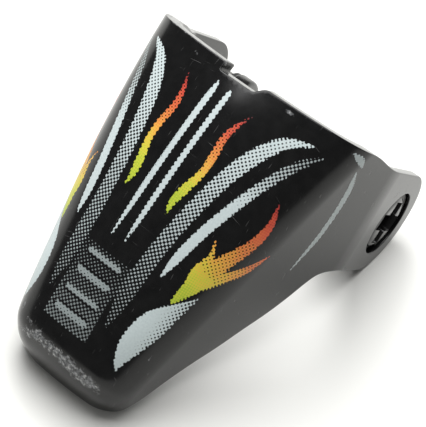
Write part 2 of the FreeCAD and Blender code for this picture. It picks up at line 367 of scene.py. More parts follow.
def inside_poly(p, loop):
    r = np.zeros(len(p), bool)
    x, y = p[:, 0], p[:, 1]
    a, b = loop, np.roll(loop, -1, 0)
    for (x0, y0), (x1, y1) in zip(a, b):
        c = (y0 > y) != (y1 > y)
        if c.any():
            r[c] ^= x[c] < (x1 - x0) * (y[c] - y0) / (y1 - y0) + x0
    return r


def near_poly(p, loop, d):
    """True for points closer than d to the loop's vertices."""
    out = np.zeros(len(p), bool)
    cell = {}
    for q in loop:
        cell.setdefault((int(q[0] // d), int(q[1] // d)), []).append(q)
    for i, q in enumerate(p):
        cx, cy = int(q[0] // d), int(q[1] // d)
        for ix in (-1, 0, 1):
            for iy in (-1, 0, 1):
                for c in cell.get((cx + ix, cy + iy), ()):
                    if (c[0] - q[0]) ** 2 + (c[1] - q[1]) ** 2 < d * d:
                        out[i] = True
    return out


NH = 150                       # points round each pivot hole
hole_a = np.linspace(0, 2 * math.pi, NH, endpoint=False)


def hole_rows(S, side, r):
    f, v = r * np.cos(hole_a), r * np.sin(hole_a)
    w = bisect(lambda q: S(q, v)[..., 2] - f, np.full(f.shape, 3.0), np.full(f.shape, 5.0))
    return w * side, v


# ---------------- shell mesh ----------------
verts, faces, tag = [], [], []          # tag: (surface, u, v) of each vertex
charts = []                             # of each face: its chart, and there each vertex's place


def add(points, surface, u=None, v=None):
    base = len(verts)
    verts.extend(points.tolist())
    for i in range(len(points)):
        tag.append((surface, 0.0 if u is None else float(u[i]), 0.0 if v is None else float(v[i])))
    return list(range(base, base + len(points)))


EDGE_R = 0.10
HOLE_OUT, HOLE_IN = 3.70, 4.46


def patch(S, surface, grid_step, rim_w, rim_v, hole_r, flip):
    """One side of the shell as a fine triangulated sheet. Returns the
    vertex numbers of its rim and of its two holes."""
    sharp = domain_loop(S, rim_w, rim_v)
    loop = inset(sharp, EDGE_R)
    holes = []
    for side in (1, -1):
        w, v = hole_rows(S, side, hole_r)
        holes.append((w, v, np.stack([arclen(S, w, v), v], 1)))
    us = np.arange(loop[:, 0].min(), loop[:, 0].max(), grid_step)
    vs = np.arange(loop[:, 1].min(), loop[:, 1].max(), grid_step)
    U, V = np.meshgrid(us, vs)
    pts = np.stack([U.ravel(), V.ravel()], 1)
    pts = pts[inside_poly(pts, loop)]
    pts = pts[~near_poly(pts, loop, grid_step * 0.62)]
    for w, v, h in holes:
        pts = pts[~inside_poly(pts, h)]
        pts = pts[~near_poly(pts, h, grid_step * 0.62)]
    allp = np.concatenate([loop, holes[0][2], holes[1][2], pts])
    edges, b = [], 0
    for n in (len(loop), NH, NH):
        edges += [(b + i, b + (i + 1) % n) for i in range(n)]
        b += n
    res = delaunay_2d_cdt([Vector(q) for q in allp.tolist()], edges, [], 0, 1e-7)
    tv, tf, ov = res[0], res[2], res[3]
    P2 = np.array([[q[0], q[1]] for q in tv])
    T = np.array([f for f in tf if len(f) == 3])
    c = P2[T].mean(1)
    ok = inside_poly(c, loop)
    for w, v, h in holes:
        ok &= ~inside_poly(c, h)
    T = T[ok]
    where = {}
    for i, o in enumerate(ov):
        for k in o:
            where[k] = i
    w = w_at(S, P2[:, 0], P2[:, 1])
    p3 = S(w, P2[:, 1])
    ids = add(p3, surface, P2[:, 0], P2[:, 1])
    a = p3[T]
    nrm = np.cross(a[:, 1] - a[:, 0], a[:, 2] - a[:, 0])
    ref = p3.mean(0) * 0 + np.array([0, -8.0, 4.0])
    turn = ((a.mean(1) - ref) * nrm).sum(1) < 0
    if flip:
        turn = ~turn
    flat = P2.tolist()
    for t, r in zip(T.tolist(), turn.tolist()):
        where_on = {ids[k]: flat[k] for k in t}
        t = [ids[k] for k in t]
        faces.append(tuple(t[::-1] if r else t))
        charts.append((surface, where_on))
    rim_ids = [ids[where[k]] for k in range(len(loop))]
    hole_ids = [[ids[where[len(loop) + h * NH + k]] for k in range(NH)] for h in (0, 1)]
    return rim_ids, hole_ids


GRID = 0.21
out_rim, out_holes = patch(outer, 0, GRID, rim[:, 0], rim[:, 1], HOLE_OUT, False)
in_rim, in_holes = patch(inner, 1, GRID * 1.6, rim[:, 2], rim[:, 3], HOLE_IN, True)


def strip(rings, chart):
    """Quads between successive closed rings of vertex numbers."""
    rows_n = len(rings) - 1
    for k, (a, b) in enumerate(zip(rings, rings[1:])):
        n = len(a)
        for i in range(n):
            j = (i + 1) % n
            faces.append((a[i], a[j], b[j], b[i]))
            charts.append((chart, {a[i]: (i / n, k / rows_n), a[j]: ((i + 1) / n, k / rows_n),
                                   b[j]: ((i + 1) / n, (k + 1) / rows_n), b[i]: (i / n, (k + 1) / rows_n)}))


# the rounded rim between the two sheets
Eo, Ei = outer(rim[:, 0], rim[:, 1]), inner(rim[:, 2], rim[:, 3])
Ro, Ri = np.array([verts[i] for i in out_rim]), np.array([verts[i] for i in in_rim])
across = Ei - Eo
thick = np.linalg.norm(across, axis=1)[:, None]
across /= thick
rings = [out_rim]
for t in (0.2, 0.4, 0.6, 0.8, 1.0):
    b = math.sqrt(0.5)
    w0, w1, w2 = (1 - t) ** 2, 2 * t * (1 - t) * b, t * t
    rings.append(add((w0 * Ro + w1 * Eo + w2 * (Eo + across * EDGE_R)) / (w0 + w1 + w2), 2))
for t in (0.33, 0.67):
    rings.append(add(Eo + across * (EDGE_R + (thick - 2 * EDGE_R) * t), 2))
for t in (1.0, 0.8, 0.6, 0.4, 0.2):
    b = math.sqrt(0.5)
    w0, w1, w2 = (1 - t) ** 2, 2 * t * (1 - t) * b, t * t
    rings.append(add((w0 * Ri + w1 * Ei + w2 * (Ei - across * EDGE_R)) / (w0 + w1 + w2), 2))
rings.append(in_rim)
strip(rings, 2)

# pocket, bore, sleeve and seat of each lug, turned about the pivot axis
turned = [(13.197, 3.66), (13.18, 3.625), (13.14, 3.605), (13.08, 3.60), (12.75, 3.60), (12.46, 3.60), (12.415, 3.585),
          (12.40, 3.54), (12.40, 3.25), (12.40, 3.02), (12.39, 2.97), (12.35, 2.95), (11.5, 2.95), (10.2, 2.95),
          (8.97, 2.95), (8.92, 2.965), (8.90, 3.01), (8.90, 3.46), (8.912, 3.53), (8.95, 3.585), (9.03, 3.60),
          (10.0, 3.60), (11.1, 3.60), (11.28, 3.615), (11.42, 3.67), (11.49, 3.77), (11.50, 3.90), (11.50, 4.14),
          (11.512, 4.22), (11.55, 4.28), (11.62, 4.30), (11.85, 4.30), (11.98, 4.315), (12.07, 4.36)]
for h, side in ((0, 1), (1, -1)):
    rings = [out_holes[h]]
    for x, r in turned:
        rings.append(add(np.stack([np.full(NH, x * side), r * np.sin(hole_a), r * np.cos(hole_a)], 1), 3))
    rings.append(in_holes[h])
    strip(rings, 3 + h)

me = bpy.data.meshes.new("mask_shell_skin")
R = row(np.array(verts))
me.from_pydata(R.tolist(), [], faces)
bm = bmesh.new()
bm.from_mesh(me)
bmesh.ops.recalc_face_normals(bm, faces=bm.faces[:])
bad = [e for e in bm.edges if len(e.link_faces) != 2]
print("shell skin", len(bm.verts), "verts", len(bm.faces), "faces", len(bad), "open edges",
      [tuple(round(q, 3) for q in verts[e.verts[0].index]) for e in bad][:12], [len(e.link_faces) for e in bad][:12],
      [tag[e.verts[0].index] for e in bad][:6])
bm.to_mesh(me)
bm.free()
for p in me.polygons:
    p.use_smooth = True
# surface map: the outside gets most of the sheet
o_uv = np.array([(t[1], t[2]) for t in tag if t[0] == 0])
u0, v0 = o_uv.min(0)
u1, v1 = o_uv.max(0)
SC = 0.985 / (u1 - u0)
uvl = me.uv_layers.new(name="OFBake")
flat_uv = np.zeros((len(me.loops), 2))
base_in = 0.99 - (v1 - v0) * SC - 0.012
for p, (chart, spot) in zip(me.polygons, charts):
    for li, vi in zip(p.loop_indices, p.vertices):
        a, b = spot[vi]
        if chart == 0:
            flat_uv[li] = (0.0075 + (a - u0) * SC, 0.99 - (v1 - b) * SC)
        elif chart == 1:
            flat_uv[li] = (0.0075 + (a - u0) * SC * 0.6, base_in - (v1 - b) * SC * 0.6)
        else:
            flat_uv[li] = (0.62 + a * 0.37, base_in - 0.02 - (chart - 2) * 0.1 - b * 0.085)
uvl.data.foreach_set("uv", flat_uv.ravel())
print("map", SC, base_in, flat_uv.min(0), flat_uv.max(0))
shell = bpy.data.objects.new("shell_skin", me)
bpy.context.collection.objects.link(shell)


# ----------------------------------------------------------------------
# The print: flames, stripes and halftone tones, drawn on the unrolled
# outside (u = length round the section in mm, v = height in mm).
# ----------------------------------------------------------------------
TAG = np.array(tag)
skin = np.where(TAG[:, 0] == 0)[0]
PU, PV = TAG[skin, 1], TAG[skin, 2]
AXIS_U = -1.0                      # middle line of the print


def curve(pts, n=10):
    """Catmull-Rom through rows of (u, v, width, ...)."""
    p = np.asarray(pts, float)
    if len(p) == 2:
        return p[0] + (p[1] - p[0]) * np.linspace(0, 1, n)[:, None]
    q = np.concatenate([[2 * p[0] - p[1]], p, [2 * p[-1] - p[-2]]])
    out = []
    for i in range(1, len(q) - 2):
        t = np.linspace(0, 1, n, endpoint=(i == len(q) - 3))[:, None]
        a, b, c, d = q[i - 1], q[i], q[i + 1], q[i + 2]
        out.append(0.5 * (2 * b + (c - a) * t + (2 * a - 5 * b + 4 * c - d) * t ** 2 + (3 * b - a - 3 * c + d) * t ** 3))
    return np.concatenate(out)


def mirrored(pts):
    return [(2 * AXIS_U - p[0],) + tuple(p[1:]) for p in pts]


def stroke(pts, n=10):
    """Signed distance (mm, negative inside) to a brush stroke of varying
    width, and the stroke's other values at the nearest point."""
    c = curve(pts, n)
    best = np.full(len(PU), 1e9)
    vals = np.zeros((len(PU), c.shape[1] - 2))
    lo, hi = c[:, :2].min(0) - 2.5, c[:, :2].max(0) + 2.5
    near = (PU > lo[0]) & (PU < hi[0]) & (PV > lo[1]) & (PV < hi[1])
    x, y = PU[near], PV[near]
    b, vv = best[near], vals[near]
    for p, q in zip(c, c[1:]):
        d = q[:2] - p[:2]
        L = max(1e-9, (d ** 2).sum())
        t = np.clip(((x - p[0]) * d[0] + (y - p[1]) * d[1]) / L, 0, 1)
        e = np.hypot(x - p[0] - d[0] * t, y - p[1] - d[1] * t)
        val = p[2:] + (q[2:] - p[2:]) * t[:, None]
        e = e - np.maximum(val[:, 0], 0) / 2
        m = e < b
        b[m], vv[m] = e[m], val[m]
    best[near], vals[near] = b, vv
    return best, vals


def poly(pts):
    """Signed distance to a closed smooth outline."""
    loop = np.asarray(pts, float)
    P = np.stack([PU, PV], 1)
    inside = inside_poly(P, loop)
    best = np.full(len(PU), 1e9)
    for p, q in zip(loop, np.roll(loop, -1, 0)):
        d = q - p
        t = np.clip(((PU - p[0]) * d[0] + (PV - p[1]) * d[1]) / max(1e-9, (d ** 2).sum()), 0, 1)
        best = np.minimum(best, np.hypot(PU - p[0] - d[0] * t, PV - p[1] - d[1] * t))
    return np.where(inside, -best, best)


SOFT = 0.13
pale = np.full(len(PU), -1.5)      # tone of the pale ink, 0..1, halftoned
pale_dim_and_shade = np.full(len(PU), 1.0)      # how bright that ink prints: grey print tone in the screened field and bars, painted shade on the side-wall arcs and brow ticks, graded along the sweeps and the leaf
fire = np.full(len(PU), -1.5)      # tone of the flame inks
heat = np.zeros(len(PU))           # 0 yellow-green ... 1 dark red
fire_d = np.full(len(PU), 1e9)


def ink_pale(d, cap=1.6, dim_and_shade=1.0):
    global pale, pale_dim_and_shade
    k = np.minimum(cap, 0.5 - d / SOFT)
    m = k > pale
    pale = np.where(m, k, pale)
    pale_dim_and_shade = np.where(m & (k > 0), dim_and_shade, pale_dim_and_shade)


def ink_fire(d, h, cap=1.6):
    global fire, heat, fire_d
    k = np.minimum(cap, 0.5 - d / SOFT)
    m = k > fire
    heat = np.where((d < fire_d) & (d < 1.0), h, heat)
    fire_d = np.minimum(fire_d, d)
    fire = np.where(m, k, fire)


def cut(d, which="both"):
    global pale, fire
    k = 0.5 + d / SOFT
    if which in ("both", "pale"):
        pale = np.minimum(pale, np.maximum(k, -1.5))
    if which in ("both", "fire"):
        fire = np.minimum(fire, np.maximum(k, -1.5))


# A plain motif, the same on both sides of its middle line: two pale sweeps,
# a leaf at the jaw, flame tongues, pinstripes and a stack of bars.  Rows are
# distance from the middle line, v, width, tone.
def both(pts):
    right = [(AXIS_U + p[0],) + tuple(p[1:]) for p in pts]
    return right, mirrored(right)


sweep = [(9.8, 4.6, 0.2, 0.85), (7.6, 3.4, 1.1, 0.80), (6.1, 1.0, 1.5, 0.70), (5.1, -2.0, 1.5, 0.60), (4.4, -5.5, 1.5, 0.50),
         (3.9, -9.0, 1.5, 0.44), (3.6, -12.5, 1.6, 0.36), (3.5, -16.0, 1.4, 0.30), (3.5, -19.0, 0.3, 0.28)]
outer_sweep = [(11.2, 4.2, 0.25, 0.38), (9.6, 2.2, 0.9, 0.44), (8.2, -0.8, 1.0, 0.60), (7.1, -4.0, 1.0, 1.1), (6.2, -7.2, 0.95, 1.6),
               (5.6, -10.2, 0.85, 1.6), (5.3, -12.4, 0.2, 1.6)]
leaf = [(9.4, -12.4, 0.1), (8.2, -14.4, 1.5), (7.1, -16.6, 2.7), (6.4, -19.0, 2.3), (6.2, -20.8, 1.2), (6.3, -22.2, 0.1)]
for p in both(sweep):
    d, v = stroke(p)
    ink_pale(d, v[:, 1], np.clip(0.92 + (PV + 6) * 0.035, 0.42, 1.0))
for p in both(outer_sweep):
    d, v = stroke(p)
    cut(d - 0.16, "pale")
    ink_pale(d, v[:, 1], np.clip(0.66 + (2.5 - PV) * 0.07, 0.5, 1.0))
for p in both(leaf):
    d, v = stroke(p)
    cut(d - 0.16, "pale")
    away = np.abs(PU - AXIS_U) - (6.9 + (PV + 19) * 0.12)
    ink_pale(d, np.clip(1.0 - away * 0.34, 0.42, 1.2), np.clip(1.0 + (PV + 17) * 0.03, 0.8, 1.0))

# flame tongues on the cheeks: distance, v, width, heat
tongues = ([(7.4, -13.8, 0.4, 0.0), (8.2, -11.6, 1.6, 0.10), (9.2, -8.8, 1.6, 0.34), (10.6, -6.0, 1.2, 0.58), (11.0, -3.6, 0.8, 0.76),
            (10.4, -1.2, 0.05, 0.92)],
           [(8.8, -11.2, 1.1, 0.14), (10.4, -9.6, 1.1, 0.32), (12.0, -8.0, 0.8, 0.52), (13.4, -5.8, 0.05, 0.72)],
           [(7.9, -12.0, 1.0, 0.06), (7.7, -10.2, 0.9, 0.18), (8.0, -8.4, 0.5, 0.30), (7.5, -6.9, 0.05, 0.40)])
slim = [(2.5, -7.6, 0.05, 0.0), (2.4, -6.2, 0.70, 0.02), (2.7, -4.6, 0.85, 0.10), (3.1, -2.8, 0.70, 0.26), (3.1, -1.0, 0.75, 0.46),
        (2.9, 0.8, 0.70, 0.66), (3.2, 2.4, 0.45, 0.82), (3.8, 3.8, 0.05, 0.95)]
for t in tongues:
    for p in both(t):
        d, v = stroke(p)
        ink_fire(d, v[:, 1], np.where((v[:, 1] > 0.22) & (v[:, 1] < 0.62), 0.80, 1.2))
        cut(d - 0.05, "pale")
for p in both(slim):
    d, v = stroke(p)
    ink_fire(d, v[:, 1], np.where(v[:, 1] > 0.45, 0.82, 1.05))
    cut(d - 0.06, "pale")

# pinstripes: a pair down the middle, an arc on each side wall, a tick at
# each end of the brow
# the side-wall arcs and brow ticks print dimmed to 0.62: painted shade on the side walls
for t, dim_and_shade, cap in (
        ([(0.75, 4.8, 0.15), (0.75, 3.4, 0.54), (0.75, -2.0, 0.54), (0.75, -8.0, 0.50), (0.75, -11.8, 0.15)], 0.95, 1.5),
        ([(15.8, 4.2, 0.3), (17.2, 2.4, 0.85), (18.2, -0.2, 0.85), (18.6, -3.2, 0.75), (18.3, -6.8, 0.2)], 0.62, 1.0),
        ([(13.4, 5.8, 0.2), (14.8, 5.5, 0.75), (16.0, 4.9, 0.1)], 0.62, 1.1)):
    for p in both(t):
        d, v = stroke(p)
        ink_pale(d, cap, dim_and_shade)
# four plain bars, one size, with a screened field behind them
field = poly([(AXIS_U - 2.6, -13.4), (AXIS_U + 2.6, -13.4), (AXIS_U + 2.6, -21.6), (AXIS_U - 2.6, -21.6)])
ink_pale(field, np.clip(0.16 + (-13.4 - PV) * 0.04, 0.1, 0.46), 0.34)
for v_bar in (-14.2, -16.2, -18.2, -20.2):
    d, v = stroke([(AXIS_U - 1.7, v_bar, 0.55), (AXIS_U + 1.7, v_bar, 0.55)])
    cut(d - 0.18, "pale")
    ink_pale(d, 0.9, 0.5)

n_all = len(verts)
for name, val, fill in (("ink_pale", pale, -1.5), ("ink_shade", pale_dim_and_shade, 1.0), ("ink_fire", fire, -1.5), ("ink_heat", heat, 0.0),
                        ("pu", PU, 0.0), ("pv", PV, 0.0)):
    a = me.attributes.new(name, "FLOAT", "POINT")
    arr = np.full(n_all, fill, np.float32)
    arr[skin] = val
    a.data.foreach_set("value", arr)
arr = np.zeros(n_all, np.float32)
arr[skin] = 1.0
me.attributes.new("printed", "FLOAT", "POINT").data.foreach_set("value", arr)
# scuffing: on the lip, the brow edge and the cheek corners, by place. The same map also paints highlights: the spot at
# (5.2, 5.9) is a painted glint, and the raised value on the left half of the brow rim is a painted highlight over its
# scuffing.
wear_and_highlight = np.zeros(n_all, np.float32)
lip_v = -25.0 + 0.9 * np.clip(1 - np.abs(PU + 0.4) / 6.0, 0, 1) ** 0.5
lip = np.exp(-((PV - lip_v) / 0.85) ** 2) * np.exp(-(np.abs(PU + 0.3) / 5.9) ** 6)
scuffs_and_glint = np.zeros(len(PU))
# the spot at (5.2, 5.9) is a painted glint; the others are scuffs
for cu, cv, ru, rv in ((-4.4, -23.2, 0.8, 0.35), (-2.9, -23.6, 0.35, 0.6), (2.2, -24.9, 1.6, 0.5), (-6.2, -22.6, 0.35, 0.9),
                       (7.6, -19.6, 0.2, 1.0), (7.0, -22.6, 0.5, 0.35), (-5.6, 5.6, 0.9, 0.35), (5.2, 5.9, 0.8, 0.3)):
    scuffs_and_glint = np.maximum(scuffs_and_glint, np.exp(-((PU - cu) / ru) ** 2 - ((PV - cv) / rv) ** 2))
wear_and_highlight[skin] = np.clip(lip * 1.0 + 0.85 * scuffs_and_glint + 0.22 * np.exp(-((PV - 6.35) / 0.25) ** 2) + 0.04, 0, 1)
edge_x = np.array([verts[i][0] for i in np.where(TAG[:, 0] == 2)[0]])
edge_v = np.array([verts[i][1] for i in np.where(TAG[:, 0] == 2)[0]])
# left half of the brow rim: scuffing plus a painted highlight of its bright edge line
wear_and_highlight[TAG[:, 0] == 2] = np.where((edge_v > 6.0) & (edge_x < -2.3) & (edge_x > -12.0), 0.62, 0.25)
me.attributes.new("wear_and_highlight", "FLOAT", "POINT").data.foreach_set("value", wear_and_highlight)


# ----------------------------------------------------------------------
# materials
# ----------------------------------------------------------------------
class Net:
    """Small helper for building node materials."""

    def __init__(self, name):
        self.m = bpy.data.materials.new(name)
        self.m.use_nodes = True
        self.t = self.m.node_tree
        self.t.nodes.clear()
        self.out = self.t.nodes.new("ShaderNodeOutputMaterial")
        self.p = self.t.nodes.new("ShaderNodeBsdfPrincipled")
        self.t.links.new(self.p.outputs[0], self.out.inputs[0])

    def put(self, node, key, v):
        if v is None:
            return
        if isinstance(v, bpy.types.NodeSocket):
            self.t.links.new(v, node.inputs[key])
        else:
            node.inputs[key].default_value = v

    def attr(self, name):
        n = self.t.nodes.new("ShaderNodeAttribute")
        n.attribute_type = "GEOMETRY"
        n.attribute_name = name
        return n.outputs["Fac"]

    def math(self, op, a, b=None, c=None, clamp=False):
        n = self.t.nodes.new("ShaderNodeMath")
        n.operation = op
        n.use_clamp = clamp
        for i, v in enumerate((a, b, c)):
            self.put(n, i, v)
        return n.outputs[0]

    def coords(self, kind="Object"):
        return self.t.nodes.new("ShaderNodeTexCoord").outputs[kind]

    def noise(self, vec, scale, detail=4, rough=0.5, out="Fac"):
        n = self.t.nodes.new("ShaderNodeTexNoise")
        self.put(n, "Vector", vec)
        n.inputs["Scale"].default_value = scale
        n.inputs["Detail"].default_value = detail
        n.inputs["Roughness"].default_value = rough
        return n.outputs[out]

    def mapping(self, vec, scale=(1, 1, 1), rot=(0, 0, 0), loc=(0, 0, 0)):
        n = self.t.nodes.new("ShaderNodeMapping")
        self.put(n, "Vector", vec)
        n.inputs["Scale"].default_value = scale
        n.inputs["Rotation"].default_value = rot
        n.inputs["Location"].default_value = loc
        return n.outputs[0]

    def ramp(self, fac, stops, mode="LINEAR"):
        n = self.t.nodes.new("ShaderNodeValToRGB")
        n.color_ramp.interpolation = mode
        e = n.color_ramp.elements
        while len(e) < len(stops):
            e.new(0.5)
        for k, (pos, col) in zip(e, stops):
            k.position = pos
            k.color = col if len(col) == 4 else (*col, 1)
        self.put(n, "Fac", fac)
        return n.outputs["Color"]

    def mix(self, fac, a, b, blend="MIX"):
        n = self.t.nodes.new("ShaderNodeMix")
        n.data_type = "RGBA"
        n.blend_type = blend
        n.clamp_factor = True
        self.put(n, 0, fac)
        self.put(n, 6, a)
        self.put(n, 7, b)
        return n.outputs[2]

    def mixf(self, fac, a, b):
        n = self.t.nodes.new("ShaderNodeMix")
        n.data_type = "FLOAT"
        self.put(n, 0, fac)
        self.put(n, 2, a)
        self.put(n, 3, b)
        return n.outputs[0]

    def vec(self, x, y, z=0.0):
        n = self.t.nodes.new("ShaderNodeCombineXYZ")
        for i, v in enumerate((x, y, z)):
            self.put(n, i, v)
        return n.outputs[0]

    def bump(self, height, strength, distance, normal=None):
        n = self.t.nodes.new("ShaderNodeBump")
        n.inputs["Strength"].default_value = strength
        n.inputs["Distance"].default_value = distance
        self.put(n, "Height", height)
        self.put(n, "Normal", normal)
        return n.outputs[0]


def shell_material():
    k = Net("printed_black_plastic")
    M = k.math
    obj = k.coords("Object")
    pu, pv = k.attr("pu"), k.attr("pv")
    pitch = 0.335
    # halftone screen, turned 45 degrees to the face
    a = M("MULTIPLY", M("ADD", pu, pv), 2 * math.pi / (pitch * math.sqrt(2)))
    b = M("MULTIPLY", M("SUBTRACT", pu, pv), 2 * math.pi / (pitch * math.sqrt(2)))
    ca, cb = M("COSINE", a), M("COSINE", b)
    scr = M("ADD", M("MULTIPLY", M("ADD", ca, cb), 0.25), 0.5)
    spot = k.vec(pu, pv)
    soft_n = M("SUBTRACT", k.noise(spot, 1.1, 3, 0.6), 0.5)
    fine_n = M("SUBTRACT", k.noise(spot, 5.0, 2, 0.6), 0.5)
    uneven = M("ADD", M("MULTIPLY", soft_n, 0.22), M("MULTIPLY", fine_n, 0.16))

    def screen(tone, hard=5.0):
        d = M("SUBTRACT", M("ADD", tone, uneven), M("SUBTRACT", 1.0, scr))
        return M("ADD", M("MULTIPLY", d, hard), 0.5, clamp=True)

    printed = k.attr("printed")
    pale_m = M("MULTIPLY", screen(k.attr("ink_pale")), printed)
    fire_m = M("MULTIPLY", screen(k.attr("ink_fire")), printed)
    # the flame is printed in two screened inks, so its colour is mottled
    second = M("MULTIPLY", M("MULTIPLY", ca, cb), 0.5)
    heat_v = M("ADD", k.attr("ink_heat"), M("ADD", M("MULTIPLY", second, 0.22), M("MULTIPLY", soft_n, 0.25)))
    heat_c = k.ramp(heat_v, FLAME)
    blotch = k.noise(obj, 900, 5, 0.6)
    black = k.ramp(blotch, [(0.3, (0.0040, 0.0041, 0.0043)), (0.7, (0.0080, 0.0080, 0.0082))])
    # pale ink at full brightness, mottled at random, then dimmed by the attribute: grey print tone in the bar field,
    # painted shade on the side-wall stripes
    dim_and_shade_v = k.attr("ink_shade")
    pale_mottled = k.mix(M("ADD", M("MULTIPLY", fine_n, 1.4), 0.5, clamp=True), PALE_A, PALE_B)
    pale_c = k.mix(dim_and_shade_v, (0.018, 0.018, 0.018, 1), pale_mottled)
    # handling wear: fine scratches and rubbed patches; the rubbed colour also paints the highlights carried in the
    # wear map, on the left brow rim and one glint spot
    fine = k.noise(k.mapping(obj, (1, 1, 1), (0.3, 0.5, 0.9)), 2600, 2, 0.5)
    s1 = k.noise(k.mapping(obj, (9000, 260, 900), (0.2, 0.1, 0.5)), 1.0, 2, 0.5)
    s2 = k.noise(k.mapping(obj, (300, 8000, 700), (0.7, 0.3, -0.35)), 1.0, 2, 0.5)
    scr1 = M("MULTIPLY", M("SUBTRACT", s1, 0.715), 22.0, clamp=True)
    scr2 = M("MULTIPLY", M("SUBTRACT", s2, 0.725), 22.0, clamp=True)
    scratch = M("MAXIMUM", scr1, scr2)
    wear_and_highlight_a = k.attr("wear_and_highlight")
    rub_n = k.noise(k.mapping(obj, (1.0, 0.55, 1.0), (0, 0, 0.5)), 2100, 7, 0.72)
    rub_m = k.noise(obj, 620, 3, 0.6)
    rub_and_highlight = M("MULTIPLY", M("SUBTRACT", M("ADD", M("ADD", M("MULTIPLY", rub_n, 0.75), M("MULTIPLY", rub_m, 0.25)), M("MULTIPLY", wear_and_highlight_a, 0.33)), 0.735), 8.0, clamp=True)
    grey = k.noise(obj, 3400, 3, 0.6)
    rub_and_highlight_c = k.ramp(grey, [(0.32, (0.06, 0.06, 0.065)), (0.5, (0.26, 0.27, 0.28)), (0.68, (0.78, 0.78, 0.77))])
    col = k.mix(pale_m, black, pale_c)
    col = k.mix(fire_m, col, heat_c)
    flake = M("MULTIPLY", M("SUBTRACT", k.noise(obj, 2100, 4, 0.7), 0.665), 9.0, clamp=True)
    inked = M("MAXIMUM", pale_m, fire_m)
    col = k.mix(M("MULTIPLY", flake, M("MULTIPLY", inked, 0.55)), col, (0.02, 0.02, 0.02, 1))
    col = k.mix(M("MULTIPLY", scratch, 0.16), col, (0.40, 0.40, 0.39, 1))
    # rubbed grey: real scuffing, and the painted highlights on the brow rim and the glint spot
    col = k.mix(M("MULTIPLY", rub_and_highlight, 0.8), col, rub_and_highlight_c)
    k.put(k.p, "Base Color", col)
    r = M("ADD", 0.15, M("MULTIPLY", inked, 0.24))
    r = M("ADD", r, M("ADD", M("MULTIPLY", blotch, 0.05), M("MAXIMUM", M("MULTIPLY", scratch, 0.15), M("MULTIPLY", rub_and_highlight, 0.45))), clamp=True)
    k.put(k.p, "Roughness", r)
    k.p.inputs["IOR"].default_value = 1.38
    h = M("ADD", M("MULTIPLY", inked, 0.5), M("ADD", M("MULTIPLY", fine, 0.2), M("MULTIPLY", M("MAXIMUM", scratch, rub_and_highlight), -0.6)))
    k.put(k.p, "Normal", k.bump(h, 0.3, 0.00002))
    return k.m


FLAME = [(0.0, (0.42, 0.55, 0.045)), (0.14, (0.66, 0.62, 0.06)), (0.34, (0.82, 0.42, 0.07)),
         (0.56, (0.72, 0.19, 0.055)), (0.80, (0.60, 0.065, 0.04)), (1.0, (0.15, 0.012, 0.02))]
PALE_A, PALE_B = (0.52, 0.60, 0.61, 1), (0.66, 0.74, 0.74, 1)


def plastic(name, c0, c1, rough, grain=2200.0, bump=0.00002, ior=1.49):
    k = Net(name)
    M = k.math
    obj = k.coords("Object")
    n = k.noise(obj, grain, 5, 0.6)
    k.put(k.p, "Base Color", k.ramp(n, [(0.3, c0), (0.72, c1)]))
    s = k.noise(k.mapping(obj, (7000, 400, 900), (0.3, 0.8, 0.4)), 1.0, 2, 0.5)
    sc = M("MULTIPLY", M("SUBTRACT", s, 0.7), 14.0, clamp=True)
    k.put(k.p, "Roughness", M("ADD", rough, M("ADD", M("MULTIPLY", n, 0.12), M("MULTIPLY", sc, 0.12)), clamp=True))
    k.p.inputs["IOR"].default_value = ior
    k.put(k.p, "Normal", k.bump(M("SUBTRACT", n, M("MULTIPLY", sc, 0.5)), 0.4, bump))
    return k.m


def steel():
    k = Net("blackened_spring_steel")
    M = k.math
    obj = k.coords("Object")
    n = k.noise(k.mapping(obj, (5000, 600, 600)), 1.0, 4, 0.6)
    k.put(k.p, "Base Color", k.ramp(n, [(0.3, (0.020, 0.020, 0.021)), (0.75, (0.06, 0.058, 0.055))]))
    k.p.inputs["Metallic"].default_value = 0.75
    k.put(k.p, "Roughness", M("ADD", 0.34, M("MULTIPLY", n, 0.25)))
    k.put(k.p, "Normal", k.bump(n, 0.35, 0.00002))
    return k.m


shell_mat = shell_material()
hub_mat = plastic("black_acetal", (0.0045, 0.0045, 0.0048), (0.009, 0.009, 0.0095), 0.16)
ring_mat = steel()
washer_mat = plastic("washer_elastomer", (0.010, 0.010, 0.010), (0.022, 0.022, 0.022), 0.62, 3800.0, 0.00004)
me.materials.append(shell_mat)
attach(shell, "shell")
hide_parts("mask_shell")


def round_profile(points, radii, n=5):
    """A turned part's (x, r) outline with its corners rounded."""
    pts = [np.array(p, float) for p in points]
    out = [pts[0]]
    for a, p, b, r in zip(pts, pts[1:], pts[2:], radii[1:-1]):
        if r == 0:
            out.append(p)
            continue
        ua, ub = (a - p) / np.linalg.norm(a - p), (b - p) / np.linalg.norm(b - p)
        for t in np.linspace(0, 1, n):
            out.append((1 - t) ** 2 * (p + ua * r) + 2 * t * (1 - t) * p + t * t * (p + ub * r))
    out.append(pts[-1])
    return out


def mesh_object(name, points, polys, body, node, mat):
    m = bpy.data.meshes.new(name)
    m.from_pydata(row(np.array(points)).tolist(), [], polys)
    b = bmesh.new()
    b.from_mesh(m)
    bmesh.ops.remove_doubles(b, verts=b.verts[:], dist=2e-7)
    bmesh.ops.recalc_face_normals(b, faces=b.faces[:])
    loose = [e for e in b.edges if len(e.link_faces) != 2]
    print(name, len(b.faces), "faces", len(loose), "open edges")
    b.to_mesh(m)
    b.free()
    for p in m.polygons:
        p.use_smooth = True
    o = bpy.data.objects.new(name, m)
    bpy.context.collection.objects.link(o)
    m.materials.append(mat)
    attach(o, body)
    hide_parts(node)
    return o


def ring_of(x, r, side, n):
    a = np.linspace(0, 2 * math.pi, n, endpoint=False)
    return np.stack([np.full(n, x * side), r * np.sin(a), r * np.cos(a)], 1)


